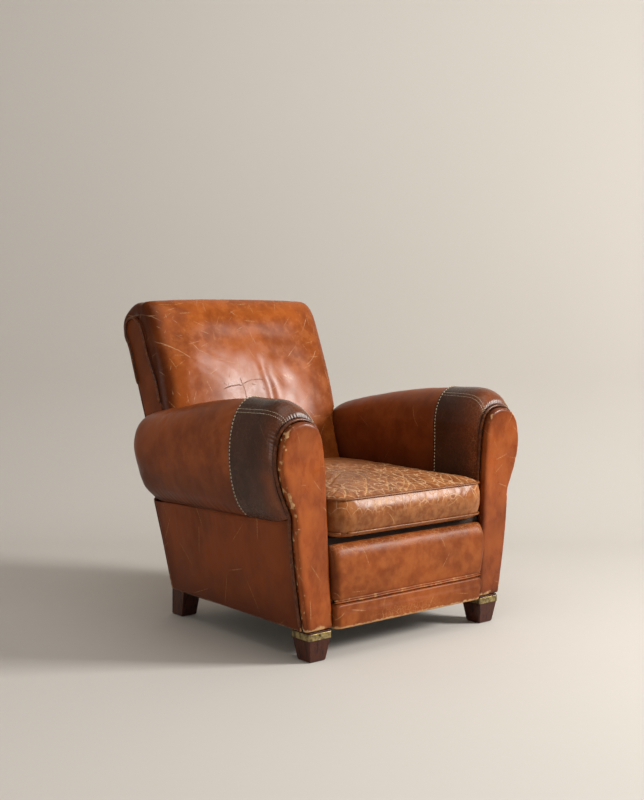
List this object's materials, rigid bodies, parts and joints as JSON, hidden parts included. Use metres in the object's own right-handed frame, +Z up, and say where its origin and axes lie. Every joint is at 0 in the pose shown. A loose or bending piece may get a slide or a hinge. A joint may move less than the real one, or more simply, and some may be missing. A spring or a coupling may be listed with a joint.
{
  "type": "worn club chair",
  "caption": "Low leather armchair with thick rolled arms, a raked back with a rolled top and one loose seat cushion, worn and scuffed all over, on short wooden feet.",
  "frame": {"origin": "on the floor under the middle of the chair, half way between its furthest points left and right and front and back", "axes": "+Z up, the front of the chair towards -Y, +X to the right of someone who looks at the chair from the front"},
  "size_m": [0.81, 0.8701, 0.836],
  "materials": {
    "foot_wood": "satin",
    "frame_wood": "matte",
    "worn_brass": "satin",
    "spring_steel": "satin",
    "webbing": "matte",
    "hessian": "matte",
    "deck_cloth": "matte",
    "dust_cloth": "matte",
    "seat_leather": "satin",
    "back_leather": "satin",
    "arm_leather": "satin",
    "cuff_leather": "satin",
    "facing_leather": "satin",
    "border_leather": "satin",
    "side_leather": "satin",
    "outside_leather": "satin",
    "welt_leather": "satin"
  },
  "bodies": {
    "root": {"foot_front_left": "foot_wood", "foot_front_right": "foot_wood", "foot_rear_left": "foot_wood", "foot_rear_right": "foot_wood", "foot_band_left": "worn_brass", "foot_band_right": "worn_brass", "front_post_left": "frame_wood", "front_post_right": "frame_wood", "rear_post_left": "frame_wood", "rear_post_right": "frame_wood", "front_rail": "frame_wood", "rear_rail": "frame_wood", "back_rail": "frame_wood", "crest_rail": "frame_wood", "side_rail_left": "frame_wood", "side_rail_right": "frame_wood", "arm_rail_left": "frame_wood", "arm_rail_right": "frame_wood", "corner_block_left": "frame_wood", "corner_block_right": "frame_wood", "seat_webbing": "webbing", "back_webbing": "webbing", "seat_spring_1": "spring_steel", "seat_spring_2": "spring_steel", "seat_spring_3": "spring_steel", "seat_spring_4": "spring_steel", "seat_spring_5": "spring_steel", "seat_spring_6": "spring_steel", "seat_spring_7": "spring_steel", "seat_spring_8": "spring_steel", "seat_spring_9": "spring_steel", "spring_cover": "hessian", "seat_deck": "deck_cloth", "dust_cover": "dust_cloth", "seat_cushion": "seat_leather", "cushion_welt_top": "welt_leather", "cushion_welt_bottom": "welt_leather", "back_pad": "back_leather", "back_side_panel_left": "side_leather", "back_side_panel_right": "side_leather", "back_welt_left": "welt_leather", "back_welt_right": "welt_leather", "outside_back": "outside_leather", "arm_pad_left": "arm_leather", "arm_pad_right": "arm_leather", "arm_cuff_left": "cuff_leather", "arm_cuff_right": "cuff_leather", "arm_facing_left": "facing_leather", "arm_facing_right": "facing_leather", "facing_welt_left": "welt_leather", "facing_welt_right": "welt_leather", "side_panel_left": "side_leather", "side_panel_right": "side_leather", "seat_border": "border_leather", "base_band": "border_leather", "band_welt": "border_leather"}
  },
  "joints": []
}
